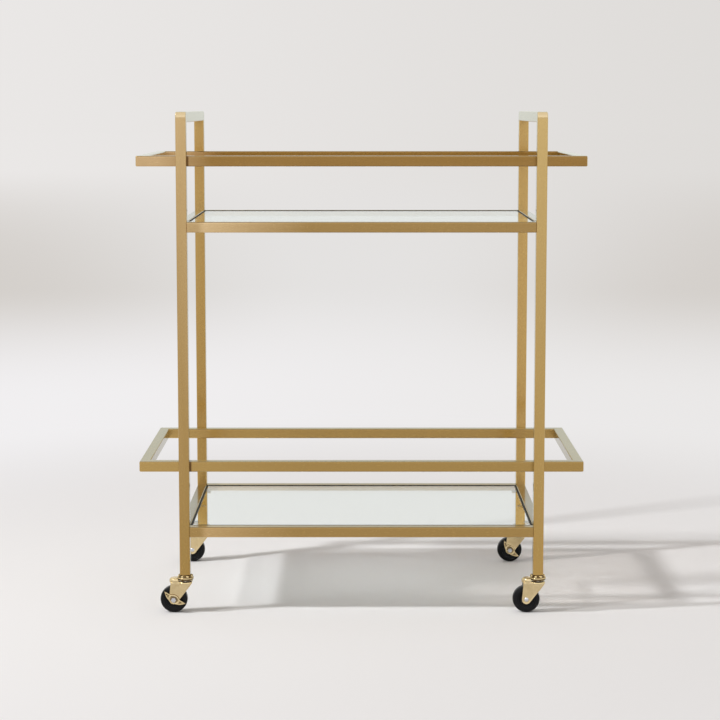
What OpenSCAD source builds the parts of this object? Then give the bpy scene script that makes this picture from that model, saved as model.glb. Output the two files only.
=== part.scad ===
// A two-shelf bar cart: two inverted-U side frames of square brass-finished tube, two open
// gallery rings held inside the legs, two shelf frames with glass panes let into them, and
// four swivel casters, two of them with side brakes.
// Millimetres. X runs along the cart's length, -Y is its front, Z is up from the floor.

/* [Cart] */
// Height from the floor to the top of the handles
cart_h = 915; // [840:1:1000]
// Width over the two side frames
frame_w = 666; // [480:1:900]
// Depth over the front and back legs
frame_d = 406; // [300:1:520]

/* [Tube] */
// Side of the square tube
tube = 19; // [17:0.5:22]
// Wall of the square tube
tube_wall = 1.5; // [1:0.1:2]
// Radius on the tube's long edges
tube_edge_r = 2; // [1:0.1:3]
// Radius of the side frames' top corners
handle_corner_r = 10; // [4:0.5:14]
// Radius of the rings' four upright corners
ring_corner_r = 3.5; // [3:0.5:10]

/* [Rings] */
// How far each ring reaches past the side frames
ring_overhang = 74; // [30:1:120]
// Height of each ring's top over its shelf's top
ring_rise = 118; // [60:1:160]

/* [Shelves] */
// Height of the upper shelf's top
upper_shelf_h = 718; // [560:1:730]
// Height of the lower shelf's top
lower_shelf_h = 160; // [130:1:300]
// Thickness of the glass
glass_t = 8; // [5:0.5:10]
// Gap between the glass and the rails around it
glass_gap = 2; // [1:0.5:4]
// How far the glass lies below the rails' top
glass_drop = 1; // [0:0.5:3]
// Radius of the glass's upright corners
glass_corner_r = 3; // [1:0.5:10]
// Length of a glass tab along its rail
tab_l = 16; // [12:1:30]
// How far a glass tab reaches in from its rail
tab_reach = 12; // [11:0.5:18]
// Thickness of a glass tab
tab_t = 2.5; // [1.5:0.5:4]
// Distance from the shelf's inner corner to the middle of its outer tabs
tab_inset = 45; // [20:1:80]
// Diameter of the clear bumper on each tab
bumper_d = 7; // [5:0.5:8]
// Thickness of the clear bumper
bumper_t = 1.5; // [1:0.5:3]
// Distance from the bumper's edge to the tab's inner end
bumper_edge = 0.5; // [0.5:0.5:2]

/* [Caster] */
// Height from the floor to the leg's lower end
caster_h = 71; // [69:0.5:90]
// Diameter of the wheel
wheel_d = 50; // [40:1:52]
// Width of the wheel's tyre
tyre_w = 17; // [12:0.5:18]
// Diameter of the wheel's core, under the tyre
core_d = 31; // [26:0.5:34]
// Width of the core's rim
core_w = 14; // [10:0.5:17]
// Thickness of the core's web
core_web = 10; // [4:0.5:12]
// Wall of the core's rim and of its boss
core_wall = 3; // [1.5:0.5:4]
// Distance from the swivel axis to the wheel's axle
trail = 21; // [18:0.5:24]
// Clear width between the fork's cheeks
fork_gap = 19; // [18:0.5:20]
// Thickness of the fork's sheet
fork_sheet = 1.5; // [1:0.1:1.8]
// Radius of a cheek's lower end
cheek_r = 8.3; // [7:0.1:10]
// Distance from the swivel axis to a cheek's upper front corner
cheek_front = 13; // [11:0.5:14]
// How far a cheek's rear edge leans out behind the axle at its top
cheek_back = 5.3; // [2:0.1:8]
// Width of the raised border on each cheek
cheek_border = 2; // [1:0.1:3]
// Height of the raised border on each cheek
cheek_relief = 0.4; // [0.2:0.1:0.6]
// Thickness of the fork's crown
crown_t = 2; // [1.5:0.1:2.5]
// Gap between the crown and the cap's rim
crown_gap = 3; // [2:0.1:3.5]
// Radius of the fork's horn, behind the swivel
horn_r = 11.4; // [9:0.1:12]
// Distance from the swivel axis to the horn's centre
horn_back = 18; // [16:0.5:20]
// Radius of the horn's upper edge
horn_edge_r = 2.5; // [1:0.1:3]

/* [Swivel] */
// Diameter of the swivel's cap
cap_d = 31; // [30:0.5:36]
// Diameter of the cap's flat top
cap_top_d = 20; // [18:0.5:21]
// Height of the cap
cap_h = 10; // [9:0.5:11]
// Height of the cap's upright rim
cap_rim_h = 4; // [3:0.5:5]
// Thickness of the cap's sheet
cap_sheet = 1.5; // [1:0.1:2]
// Diameter of the swivel's stem
stem_d = 8; // [6:0.5:9]
// Length of the stem inside the leg
stem_l = 22; // [15:1:24]
// Diameter of the stem's riveted head
stem_head_d = 14; // [12:0.5:15]
// Thickness of the stem's riveted head
stem_head_t = 2; // [1:0.1:2.5]
// Length of the threaded socket in the leg
socket_l = 26; // [25:1:40]
// Diameter of the swivel's balls
ball_d = 4; // [3:0.1:4.4]
// Number of balls in a swivel
ball_count = 12; // [8:1:14]
// Diameter of the bumps pressed round the cap
bump_d = 4.4; // [3:0.1:5]
// Number of bumps pressed round the cap
bump_count = 8; // [6:1:10]

/* [Axle] */
// Diameter of the axle
axle_d = 5; // [4:0.1:6]
// Outer diameter of the steel bush on the axle
bush_d = 8; // [7:0.1:10]
// Diameter of the axle's rivet head
rivet_d = 8; // [7:0.5:10]
// Height of the axle's rivet head
rivet_h = 1.8; // [1:0.1:2.5]

/* [Brake] */
// Length of the brake lever, from tip to tip
lever_l = 45; // [36:0.5:46]
// How far the lever's lower edge lies below the axle
lever_low = 6.3; // [5:0.1:8]
// How far the lever's tips lie above the axle
lever_tip = 5.7; // [3:0.1:6.5]
// How far the lever's round middle reaches above the axle
lever_top = 9.3; // [8:0.1:11]
// Radius of the lever's round middle
lever_eye_r = 13; // [11:0.5:14]
// Thickness of the lever's sheet
lever_sheet = 1.2; // [0.8:0.1:1.4]
// Height of the raised rim round the lever
lever_rim_h = 0.8; // [0.4:0.1:1]
// Width of the raised rim round the lever
lever_rim_w = 2; // [1.5:0.1:3]
// Distance over the brake nut's flats
nut_af = 8; // [7:0.5:9]
// Thickness of the brake nut
nut_t = 2.7; // [2:0.1:2.8]
// Slope of the front left lever, down to the right
front_brake_angle = 31; // [25:1:55]
// Slope of the back right lever, down to the right
back_brake_angle = 47; // [25:1:55]

/* [Hidden] */
// Clearance of pieces that sit one in the other and don't turn
seat = 0.05;
// Radial clearance of a shaft that turns in a bore
run = 0.05;
// Gap between faces that slide past each other
slide = 0.15;
// How far inside a round end its straight edges start, so that they cross its outline
blend = 0.1;
// How far a cut runs past the face that it opens
past = 1;

leg_l = cart_h - caster_h;
leg_x = (frame_w - tube) / 2;
leg_y = (frame_d - tube) / 2;
inner_w = frame_w - 2 * tube;
inner_d = frame_d - 2 * tube;
ring_w = frame_w + 2 * ring_overhang;

glass_under = glass_drop + glass_t;
tab_y = inner_d / 2 - tab_inset;
bumper_in = tab_reach - bumper_d / 2 - bumper_edge;

axle_h = wheel_d / 2;
cheek_in = fork_gap / 2;
cheek_out = cheek_in + fork_sheet;
cap_r = cap_d / 2;
cap_top_r = cap_top_d / 2;
cap_foot = caster_h - cap_h;
cap_shoulder = cap_foot + cap_rim_h;
cone_drop = caster_h - cap_shoulder;
cone_run = cap_r - cap_top_r;
cone_l = norm([cone_run, cone_drop]);
// Unit vector square to the cap's cone, out and up
cone_out = [cone_drop, cone_run] / cone_l;
cone_mid = [(cap_r + cap_top_r) / 2, (caster_h + cap_shoulder) / 2];
ball_at = cone_mid - cone_out * (cap_sheet + ball_d / 2 + seat);
race_at = cone_mid - cone_out * (cap_sheet + ball_d + 2 * seat);
bump_at = cone_mid - cone_out * bump_d / 4;
// Height at which the race's cone, on the fork, reaches a given radius
function race_z(r) = race_at[1] - (r - race_at[0]) * cone_drop / cone_run;

crown_top = cap_foot - crown_gap;
crown_low = crown_top - crown_t;
crown_r = cap_r - 1;
race_r = cap_r - cap_sheet - 1;
boss_top_r = stem_d / 2 + 2;
horn_clear = 0.6;
horn_top = cap_shoulder - horn_clear;

lever_face = cheek_out + slide;
lever_front = lever_face + lever_sheet;
nut_face = lever_front + seat;
nut_r = nut_af / 2 / cos(30);
bolt_end = nut_face + nut_t;

brass = [0.70, 0.57, 0.36];
bright_brass = [0.80, 0.72, 0.52];
steel = [0.75, 0.76, 0.78];
clear_glass = [0.80, 0.90, 0.86, 0.4];
clear_rubber = [0.88, 0.90, 0.90, 0.6];
black_rubber = [0.08, 0.08, 0.09];
black_core = [0.12, 0.12, 0.13];

$fn = 64;

// Square with round corners, centred
module soft_square(side, r) {
    square([side, side - 2 * r], center = true);
    square([side - 2 * r, side], center = true);
    for (x = [-1, 1], y = [-1, 1])
        translate([x, y] * (side / 2 - r)) circle(r = r);
}

// The tube's outline, or its bore where inset is the wall
module tube_section(inset) {
    if (inset == 0) soft_square(tube, tube_edge_r);
    else square(tube - 2 * inset, center = true);
}

// Quarter of a turn of the tube's outer part, from its corner's centre outwards
module tube_corner(r, inset) {
    rotate([0, 0, 180]) rotate_extrude(angle = 90) intersection() {
        translate([r - tube / 2, 0]) tube_section(inset);
        translate([0, -tube]) square(2 * tube);
    }
}

// Body or bore of a bar along +X, with its outer face at y = 0. A radius above zero at an
// end means that the end meets another bar in a mitre, and that their corner has this radius.
module bar_form(len, start_r, end_r, inset) {
    beyond = inset > 0 ? past : 0;
    from = start_r > 0 ? start_r : -beyond;
    to = len - (end_r > 0 ? end_r : -beyond);
    translate([from, tube / 2, 0]) rotate([90, 0, 90])
        linear_extrude(to - from) tube_section(inset);
    if (start_r > 0) translate([start_r, start_r, 0]) tube_corner(start_r, inset);
    if (end_r > 0) translate([len - end_r, end_r, 0]) mirror([1, 0, 0]) tube_corner(end_r, inset);
}

// Everything on the far side of a mitre that starts at the origin
module mitre_cut() {
    rotate([0, 0, 45]) translate([-tube, 0, -tube]) cube([4 * tube, 3 * tube, 2 * tube]);
}

module tube_bar(len, start_r = 0, end_r = 0) {
    difference() {
        bar_form(len, start_r, end_r, 0);
        bar_form(len, start_r, end_r, tube_wall);
        if (start_r > 0) mitre_cut();
        if (end_r > 0) translate([len, 0, 0]) mirror([1, 0, 0]) mitre_cut();
    }
}

module front_leg() {
    translate([0, -frame_d / 2, cart_h]) rotate([0, 90, 0]) tube_bar(leg_l, handle_corner_r);
}

module front_left_leg() {
    color(brass) translate([-leg_x, 0, 0]) front_leg();
}

module front_right_leg() {
    color(brass) translate([leg_x, 0, 0]) front_leg();
}

module back_left_leg() {
    color(brass) translate([-leg_x, 0, 0]) mirror([0, 1, 0]) front_leg();
}

module back_right_leg() {
    color(brass) translate([leg_x, 0, 0]) mirror([0, 1, 0]) front_leg();
}

module handle() {
    translate([0, -frame_d / 2, cart_h]) rotate([-90, 0, 90])
        tube_bar(frame_d, handle_corner_r, handle_corner_r);
}

module left_handle() {
    color(brass) translate([-leg_x, 0, 0]) handle();
}

module right_handle() {
    color(brass) translate([leg_x, 0, 0]) handle();
}

// Front bar of a ring, which lies against the back of the front legs
module ring_front(shelf_h) {
    translate([-ring_w / 2, -inner_d / 2, shelf_h + ring_rise - tube / 2])
        tube_bar(ring_w, ring_corner_r, ring_corner_r);
}

// Left bar of a ring
module ring_left(shelf_h) {
    translate([-ring_w / 2, inner_d / 2, shelf_h + ring_rise - tube / 2]) rotate([0, 0, -90])
        tube_bar(inner_d, ring_corner_r, ring_corner_r);
}

module upper_ring_front() {
    color(brass) ring_front(upper_shelf_h);
}

module upper_ring_back() {
    color(brass) mirror([0, 1, 0]) ring_front(upper_shelf_h);
}

module upper_ring_left() {
    color(brass) ring_left(upper_shelf_h);
}

module upper_ring_right() {
    color(brass) mirror([1, 0, 0]) ring_left(upper_shelf_h);
}

module lower_ring_front() {
    color(brass) ring_front(lower_shelf_h);
}

module lower_ring_back() {
    color(brass) mirror([0, 1, 0]) ring_front(lower_shelf_h);
}

module lower_ring_left() {
    color(brass) ring_left(lower_shelf_h);
}

module lower_ring_right() {
    color(brass) mirror([1, 0, 0]) ring_left(lower_shelf_h);
}

// Front rail of a shelf, between the front legs and flush with them
module shelf_front(shelf_h) {
    translate([-inner_w / 2, -frame_d / 2, shelf_h - tube / 2]) tube_bar(inner_w);
}

// Left rail of a shelf, between the left legs
module shelf_left(shelf_h) {
    translate([-frame_w / 2, inner_d / 2, shelf_h - tube / 2]) rotate([0, 0, -90])
        tube_bar(inner_d);
}

module upper_shelf_front() {
    color(brass) shelf_front(upper_shelf_h);
}

module upper_shelf_back() {
    color(brass) mirror([0, 1, 0]) shelf_front(upper_shelf_h);
}

module upper_shelf_left() {
    color(brass) shelf_left(upper_shelf_h);
}

module upper_shelf_right() {
    color(brass) mirror([1, 0, 0]) shelf_left(upper_shelf_h);
}

module lower_shelf_front() {
    color(brass) shelf_front(lower_shelf_h);
}

module lower_shelf_back() {
    color(brass) mirror([0, 1, 0]) shelf_front(lower_shelf_h);
}

module lower_shelf_left() {
    color(brass) shelf_left(lower_shelf_h);
}

module lower_shelf_right() {
    color(brass) mirror([1, 0, 0]) shelf_left(lower_shelf_h);
}

// Places its child at each glass tab: the origin is on the rail's inner face, below the
// glass, and +X runs in under the glass
module at_tabs() {
    for (shelf_h = [upper_shelf_h, lower_shelf_h], side = [0, 1], y = [-tab_y, 0, tab_y])
        mirror([side, 0, 0]) translate([-inner_w / 2, y, shelf_h - glass_under]) children();
}

module glass_tabs() {
    color(brass) at_tabs() translate([0, -tab_l / 2, -bumper_t - tab_t])
        cube([tab_reach, tab_l, tab_t]);
}

module glass_bumpers() {
    color(clear_rubber) at_tabs() translate([bumper_in, 0, -bumper_t])
        cylinder(d = bumper_d, h = bumper_t);
}

module glass_pane(shelf_h) {
    w = inner_w - 2 * glass_gap;
    d = inner_d - 2 * glass_gap;
    r = glass_corner_r;
    translate([0, 0, shelf_h - glass_under]) linear_extrude(glass_t) {
        square([w, d - 2 * r], center = true);
        square([w - 2 * r, d], center = true);
        for (x = [-1, 1], y = [-1, 1]) translate([x * (w / 2 - r), y * (d / 2 - r)]) circle(r = r);
    }
}

module upper_glass() {
    color(clear_glass) glass_pane(upper_shelf_h);
}

module lower_glass() {
    color(clear_glass) glass_pane(lower_shelf_h);
}

// Moves a caster piece, drawn with its swivel axis on Z, under the leg on this side
module at_caster(side, face) {
    translate([side * leg_x, face * leg_y, 0]) children();
}

module at_casters() {
    for (side = [-1, 1], face = [-1, 1]) at_caster(side, face) children();
}

// Threaded plug pressed into the lower end of each leg
module leg_sockets() {
    plug = tube - 2 * tube_wall - 2 * seat;
    color(steel) at_casters() translate([0, 0, caster_h]) difference() {
        translate([-plug / 2, -plug / 2, 0]) cube([plug, plug, socket_l]);
        translate([0, 0, -past]) cylinder(d = stem_d + 2 * seat, h = stem_l + 2 * past);
    }
}

// Stem of each caster, from its riveted head under the fork up into the leg
module caster_stems() {
    head_low = crown_low - slide - stem_head_t;
    color(steel) at_casters() {
        translate([0, 0, head_low]) cylinder(d = stem_d, h = caster_h + stem_l - head_low);
        translate([0, 0, head_low]) cylinder(d = stem_head_d, h = stem_head_t);
    }
}

// Pressed cap that carries the balls, with bumps round its cone
module caster_caps() {
    skin = cone_out * cap_sheet;
    color(bright_brass) at_casters() difference() {
        union() {
            rotate_extrude() polygon([
                [0, caster_h], [cap_top_r, caster_h], [cap_r, cap_shoulder], [cap_r, cap_foot],
                [0, cap_foot]
            ]);
            for (i = [0 : bump_count - 1])
                rotate([0, 0, (i + 0.5) * 360 / bump_count]) translate([bump_at[0], 0, bump_at[1]])
                    sphere(d = bump_d);
        }
        rotate_extrude() polygon([
            [0, caster_h - cap_sheet],
            [cap_top_r + (cap_sheet - skin[1]) * cone_run / cone_drop - skin[0], caster_h - cap_sheet],
            [cap_r - cap_sheet, cap_shoulder - skin[1] + (cap_sheet - skin[0]) * cone_drop / cone_run],
            [cap_r - cap_sheet, cap_foot - past], [0, cap_foot - past]
        ]);
        cylinder(d = stem_d + 2 * seat, h = caster_h + past);
    }
}

module caster_balls() {
    color(steel) at_casters() for (i = [0 : ball_count - 1])
        rotate([0, 0, i * 360 / ball_count]) translate([ball_at[0], 0, ball_at[1]])
            sphere(d = ball_d);
}

// Direction of the outward normal of a cheek's edge, from the cheek's corner to a tangent
// of its round lower end
function edge_dir(dx, dz, side) = atan2(dz, dx) + side * acos(cheek_r / norm([dx, dz]));
back_dir = edge_dir(-cheek_back, crown_top - axle_h, 1);
front_dir = edge_dir(cheek_front + trail, crown_top - axle_h, -1);
// Where an edge with this normal, moved in by inset, reaches the height z over the axle
function edge_x(dir, inset, z) = (cheek_r - inset - z * sin(dir)) / cos(dir);

// Outline of a cheek in the X-Z plane with the axle at the origin, moved in by inset
module cheek_outline(inset) {
    r = cheek_r - inset;
    top = crown_top - axle_h - 2 * inset;
    circle(r = r);
    polygon([
        [0, 0], (r - blend) * [cos(back_dir), sin(back_dir)], [edge_x(back_dir, inset, top), top],
        [edge_x(front_dir, inset, top), top], (r - blend) * [cos(front_dir), sin(front_dir)]
    ]);
}

// Fork pressed from sheet: a crown with the balls' race and a horn at the back, and two cheeks
module fork() {
    difference() {
        union() {
            // crown
            translate([0, 0, crown_low]) linear_extrude(crown_t) {
                circle(r = crown_r);
                translate([-trail - cheek_back, -cheek_out])
                    square([trail + cheek_back + cheek_front, 2 * cheek_out]);
                translate([-horn_back, 0]) circle(r = horn_r);
            }
            // race
            rotate_extrude() polygon([
                [0, crown_low], [race_r, crown_low], [race_r, race_z(race_r)],
                [boss_top_r, race_z(boss_top_r)], [0, race_z(boss_top_r)]
            ]);
            // horn
            difference() {
                translate([-horn_back, 0, 0]) {
                    translate([0, 0, crown_top]) cylinder(r = horn_r, h = horn_top - crown_top - horn_edge_r);
                    rotate_extrude() translate([horn_r - horn_edge_r, horn_top - horn_edge_r])
                        circle(r = horn_edge_r);
                    translate([0, 0, crown_top])
                        cylinder(r = horn_r - horn_edge_r, h = horn_top - crown_top);
                }
                translate([0, 0, crown_top]) cylinder(r = cap_r + horn_clear, h = cap_h + past);
            }
            // cheeks
            for (face = [0, 1]) mirror([0, face, 0])
                translate([-trail, -cheek_in, axle_h]) rotate([90, 0, 0]) difference() {
                    linear_extrude(fork_sheet) cheek_outline(0);
                    translate([0, 0, fork_sheet - cheek_relief])
                        linear_extrude(past) cheek_outline(cheek_border);
                }
        }
        cylinder(r = stem_d / 2 + run, h = caster_h);
        translate([-trail, 0, axle_h]) rotate([90, 0, 0])
            cylinder(d = axle_d + 2 * seat, h = 4 * cheek_out, center = true);
    }
}

module front_left_fork() {
    color(bright_brass) at_caster(-1, -1) fork();
}

module front_right_fork() {
    color(bright_brass) at_caster(1, -1) fork();
}

module back_left_fork() {
    color(bright_brass) at_caster(-1, 1) fork();
}

module back_right_fork() {
    color(bright_brass) at_caster(1, 1) fork();
}

// Places a piece that is drawn along +Z from the middle of the wheel on the axle, so that
// +Z points to the cart's front and Y is up
module on_axle() {
    translate([-trail, 0, axle_h]) rotate([90, 0, 0]) children();
}

// A rivet's head: a flat dome on top of the face it rests on
module rivet_head() {
    edge = rivet_d / 2;
    ball = (edge * edge + rivet_h * rivet_h) / (2 * rivet_h);
    intersection() {
        translate([0, 0, rivet_h - ball]) sphere(r = ball);
        cylinder(r = edge, h = rivet_h);
    }
}

// Steel rivet through both cheeks, with a domed head on each
module rivet_axle() {
    on_axle() {
        cylinder(d = axle_d, h = 2 * cheek_out, center = true);
        for (side = [0, 1]) mirror([0, 0, side])
            translate([0, 0, cheek_out - cheek_relief]) rivet_head();
    }
}

// Bolt of a braked wheel: a domed head at the back, and an end that carries lever and nut
module bolt_axle() {
    on_axle() {
        translate([0, 0, -cheek_out]) cylinder(d = axle_d, h = cheek_out + bolt_end);
        mirror([0, 0, 1]) translate([0, 0, cheek_out - cheek_relief]) rivet_head();
    }
}

module front_left_axle() {
    color(steel) at_caster(-1, -1) bolt_axle();
}

module front_right_axle() {
    color(steel) at_caster(1, -1) rivet_axle();
}

module back_left_axle() {
    color(steel) at_caster(-1, 1) rivet_axle();
}

module back_right_axle() {
    color(steel) at_caster(1, 1) bolt_axle();
}

// Steel sleeve that the wheel turns on, clamped between the cheeks
module bush() {
    on_axle() difference() {
        cylinder(d = bush_d, h = fork_gap - 2 * seat, center = true);
        cylinder(d = axle_d + 2 * seat, h = fork_gap + past, center = true);
    }
}

module front_left_bush() {
    color(steel) at_caster(-1, -1) bush();
}

module front_right_bush() {
    color(steel) at_caster(1, -1) bush();
}

module back_left_bush() {
    color(steel) at_caster(-1, 1) bush();
}

module back_right_bush() {
    color(steel) at_caster(1, 1) bush();
}

// Moulded core of the wheel: a long boss on the bush, a thinner web and a rim under the tyre
module wheel_core() {
    bore_r = bush_d / 2 + run;
    rim_r = core_d / 2;
    boss_w = fork_gap / 2 - slide;
    on_axle() rotate_extrude() {
        translate([bore_r, -boss_w]) square([core_wall, 2 * boss_w]);
        translate([bore_r, -core_web / 2]) square([rim_r - bore_r, core_web]);
        translate([rim_r - core_wall, -core_w / 2]) square([core_wall, core_w]);
    }
}

module front_left_core() {
    color(black_core) at_caster(-1, -1) wheel_core();
}

module front_right_core() {
    color(black_core) at_caster(1, -1) wheel_core();
}

module back_left_core() {
    color(black_core) at_caster(-1, 1) wheel_core();
}

module back_right_core() {
    color(black_core) at_caster(1, 1) wheel_core();
}

// Tyre with round shoulders, moulded on the core
module tyre() {
    shoulder_r = tyre_w / 4;
    inner_r = core_d / 2 + seat;
    outer_r = wheel_d / 2;
    on_axle() rotate_extrude() {
        translate([inner_r, -tyre_w / 2]) square([outer_r - shoulder_r - inner_r, tyre_w]);
        translate([inner_r, shoulder_r - tyre_w / 2]) square([outer_r - inner_r, tyre_w - 2 * shoulder_r]);
        for (side = [-1, 1]) translate([outer_r - shoulder_r, side * (tyre_w / 2 - shoulder_r)])
            circle(r = shoulder_r);
    }
}

module front_left_tyre() {
    color(black_rubber) at_caster(-1, -1) tyre();
}

module front_right_tyre() {
    color(black_rubber) at_caster(1, -1) tyre();
}

module back_left_tyre() {
    color(black_rubber) at_caster(-1, 1) tyre();
}

module back_right_tyre() {
    color(black_rubber) at_caster(1, 1) tyre();
}

// Outline of a brake lever round the axle, moved in by inset: a long arc below, and above
// it a round middle between two flat ends
module lever_outline(inset) {
    half = lever_l / 2;
    rise = lever_low + lever_tip;
    sweep_r = (half * half + rise * rise) / (2 * rise);
    intersection() {
        translate([0, sweep_r - lever_low]) circle(r = sweep_r - inset, $fn = 128);
        union() {
            translate([0, lever_top - lever_eye_r]) circle(r = lever_eye_r - inset);
            if (inset == 0) translate([-half, -half]) square([lever_l, half + lever_tip + 1]);
        }
    }
}

// Pressed brake lever with a raised rim round its dished middle, sloping down to the right.
// The rim is set back round the nut, which stands still while the lever turns
module brake_lever(slope) {
    on_axle() rotate([0, 0, -slope]) translate([0, 0, lever_face]) difference() {
        linear_extrude(lever_sheet + lever_rim_h) lever_outline(0);
        translate([0, 0, lever_sheet]) linear_extrude(past) lever_outline(lever_rim_w);
        translate([0, 0, lever_sheet]) cylinder(r = nut_r + slide, h = past);
        translate([0, 0, -past]) cylinder(r = axle_d / 2 + run, h = 2 * past + lever_sheet);
    }
}

module front_left_brake() {
    color(bright_brass) at_caster(-1, -1) brake_lever(front_brake_angle);
}

module back_right_brake() {
    color(bright_brass) at_caster(1, 1) brake_lever(back_brake_angle);
}

module brake_nut() {
    on_axle() translate([0, 0, nut_face]) difference() {
        cylinder(r = nut_r, h = nut_t, $fn = 6);
        translate([0, 0, -past]) cylinder(d = axle_d + 2 * seat, h = nut_t + 2 * past);
    }
}

module front_left_brake_nut() {
    color(steel) at_caster(-1, -1) brake_nut();
}

module back_right_brake_nut() {
    color(steel) at_caster(1, 1) brake_nut();
}

front_left_leg();
front_right_leg();
back_left_leg();
back_right_leg();
left_handle();
right_handle();
upper_ring_front();
upper_ring_back();
upper_ring_left();
upper_ring_right();
lower_ring_front();
lower_ring_back();
lower_ring_left();
lower_ring_right();
upper_shelf_front();
upper_shelf_back();
upper_shelf_left();
upper_shelf_right();
lower_shelf_front();
lower_shelf_back();
lower_shelf_left();
lower_shelf_right();
glass_tabs();
glass_bumpers();
upper_glass();
lower_glass();
leg_sockets();
caster_stems();
caster_caps();
caster_balls();
front_left_fork();
front_right_fork();
back_left_fork();
back_right_fork();
front_left_axle();
front_right_axle();
back_left_axle();
back_right_axle();
front_left_bush();
front_right_bush();
back_left_bush();
back_right_bush();
front_left_core();
front_right_core();
back_left_core();
back_right_core();
front_left_tyre();
front_right_tyre();
back_left_tyre();
back_right_tyre();
front_left_brake();
back_right_brake();
front_left_brake_nut();
back_right_brake_nut();
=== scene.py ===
import math

import bmesh
import bpy
import numpy as np
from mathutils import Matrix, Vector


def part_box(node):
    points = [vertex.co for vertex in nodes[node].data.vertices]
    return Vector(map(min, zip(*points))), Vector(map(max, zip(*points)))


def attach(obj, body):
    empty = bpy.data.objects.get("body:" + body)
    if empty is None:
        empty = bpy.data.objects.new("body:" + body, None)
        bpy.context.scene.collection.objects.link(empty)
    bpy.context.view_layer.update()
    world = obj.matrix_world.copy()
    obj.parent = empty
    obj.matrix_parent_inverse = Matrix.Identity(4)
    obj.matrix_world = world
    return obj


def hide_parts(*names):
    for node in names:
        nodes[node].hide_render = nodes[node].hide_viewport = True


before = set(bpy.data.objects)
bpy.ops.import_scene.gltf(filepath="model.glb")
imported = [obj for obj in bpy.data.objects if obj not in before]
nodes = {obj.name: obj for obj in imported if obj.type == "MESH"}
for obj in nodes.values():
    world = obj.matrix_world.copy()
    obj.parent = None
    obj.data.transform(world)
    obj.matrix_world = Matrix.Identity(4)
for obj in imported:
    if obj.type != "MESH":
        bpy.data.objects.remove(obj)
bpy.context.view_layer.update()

# The camera stands 3.6 metres in front of the cart, just above its handles, and looks
# slightly down. The lens is shifted a little, as the photograph's framing asks.
CAMERA_AT = (-0.0028, -3.5722, 0.9267)
CAMERA_TILT = math.radians(6.21)
SENSOR = 36.0
LENS = 93.94
LENS_SHIFT = -0.07
CLIP_END = 200

camera_data = bpy.data.cameras.new("camera")
camera_data.sensor_width = SENSOR
camera_data.lens = LENS
camera_data.shift_y = LENS_SHIFT
camera_data.clip_end = CLIP_END
camera = bpy.data.objects.new("camera", camera_data)
camera.location = CAMERA_AT
camera.rotation_euler = (math.pi / 2 - CAMERA_TILT, 0, 0)
bpy.context.scene.collection.objects.link(camera)
bpy.context.scene.camera = camera
bpy.context.scene.view_settings.view_transform = "Standard"


# The studio is a pale floor without an end, under an even sky. A small lamp stands close by
# on the left, a little higher than the cart, and a weaker one far off shines down from there.
# What is mirrored is a plain room, dim in front, with a window above eye level and a ceiling.
FLOOR_COLOUR = (0.86, 0.85, 0.855)
BEYOND_LEFT, BEYOND_RIGHT, BEYOND_SPAN = (0.88, 0.865, 0.875), (0.825, 0.81, 0.805), (-1.2, 1.2)
FAR_LEFT, FAR_RIGHT, FAR_SPAN = (0.83, 0.81, 0.80), (0.73, 0.71, 0.69), (-0.3, 0.3)
BAND_MIDDLE, BAND_SIDE, BAND_SPAN = (0.775, 0.76, 0.75), (0.66, 0.63, 0.60), (0.03, 0.3)
FLOOR_RADIUS, FLOOR_SIDES = 60.0, 96
PAINT_END, FADE, BAND_FADE = (0.7, 2.0), (2.4, 6.3), (25.0, 6.3)
KEY_AT, KEY_TO = (-1.77, -0.54, 1.33), (0.3, 0, 0)
KEY_SIZE = 0.13
KEY_POWER = 5.2
KEY_COLOUR = (0.97, 0.99, 1.0)
FILL_FROM = (-0.7, -0.3, 1.0)
FILL_STRENGTH = 0.62
FILL_ANGLE = math.radians(5)
SKY_STRENGTH = 0.5
SKY_COLOUR = (1, 0.955, 0.915)
ROOM, ROOM_FROM, FRONT_FLOOR = (0.66, 0.64, 0.63), (-0.2, -0.75), (0.1, -0.7)
SIDES = (0.85, 0.87, 0.84)
WINDOW, WINDOW_ABOVE = (1.18, 1.22, 1.3), (0.03, 0.1)
CEILING, CEILING_BACK, CEILING_ABOVE = (1.06, 1.05, 1.02), (-0.98, -0.3), (0.1, 0.8)


def srgb(*levels):
    """A colour written as levels from 0 to 255, in the linear values that nodes take."""
    c = np.asarray(levels, float) / 255
    linear = np.where(c <= 0.04045, c / 12.92, ((c + 0.055) / 1.055) ** 2.4)
    return (*linear.tolist(), 1.0)


def new_material(name):
    """An empty material, with its nodes, its links and its output."""
    material = bpy.data.materials.new(name)
    material.use_nodes = True
    material.node_tree.nodes.clear()
    output = material.node_tree.nodes.new("ShaderNodeOutputMaterial")
    return material, material.node_tree.nodes, material.node_tree.links, output


def link_object(name, mesh):
    """A new object in the scene."""
    obj = bpy.data.objects.new(name, mesh)
    bpy.context.scene.collection.objects.link(obj)
    return obj


def feed(link, socket, value):
    """Sets a socket to a number or a colour, or links it to another socket."""
    if isinstance(value, (int, float)):
        socket.default_value = value
    elif isinstance(value, tuple):
        socket.default_value = (*value[:3], 1)
    else:
        link.new(value, socket)


def calculate(node, link, operation, *values):
    """The result of a sum with one, two or three values."""
    sum_up = node.new("ShaderNodeMath")
    sum_up.operation = operation
    for socket, value in zip(sum_up.inputs, values):
        feed(link, socket, value)
    return sum_up.outputs[0]


def ramp(node, link, value, start, end):
    """A smooth rise from 0 to 1 as a value goes from start to end."""
    rise = node.new("ShaderNodeMapRange")
    rise.interpolation_type = "SMOOTHSTEP"
    rise.inputs["From Min"].default_value = start
    rise.inputs["From Max"].default_value = end
    link.new(value, rise.inputs["Value"])
    return rise.outputs["Result"]


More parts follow.
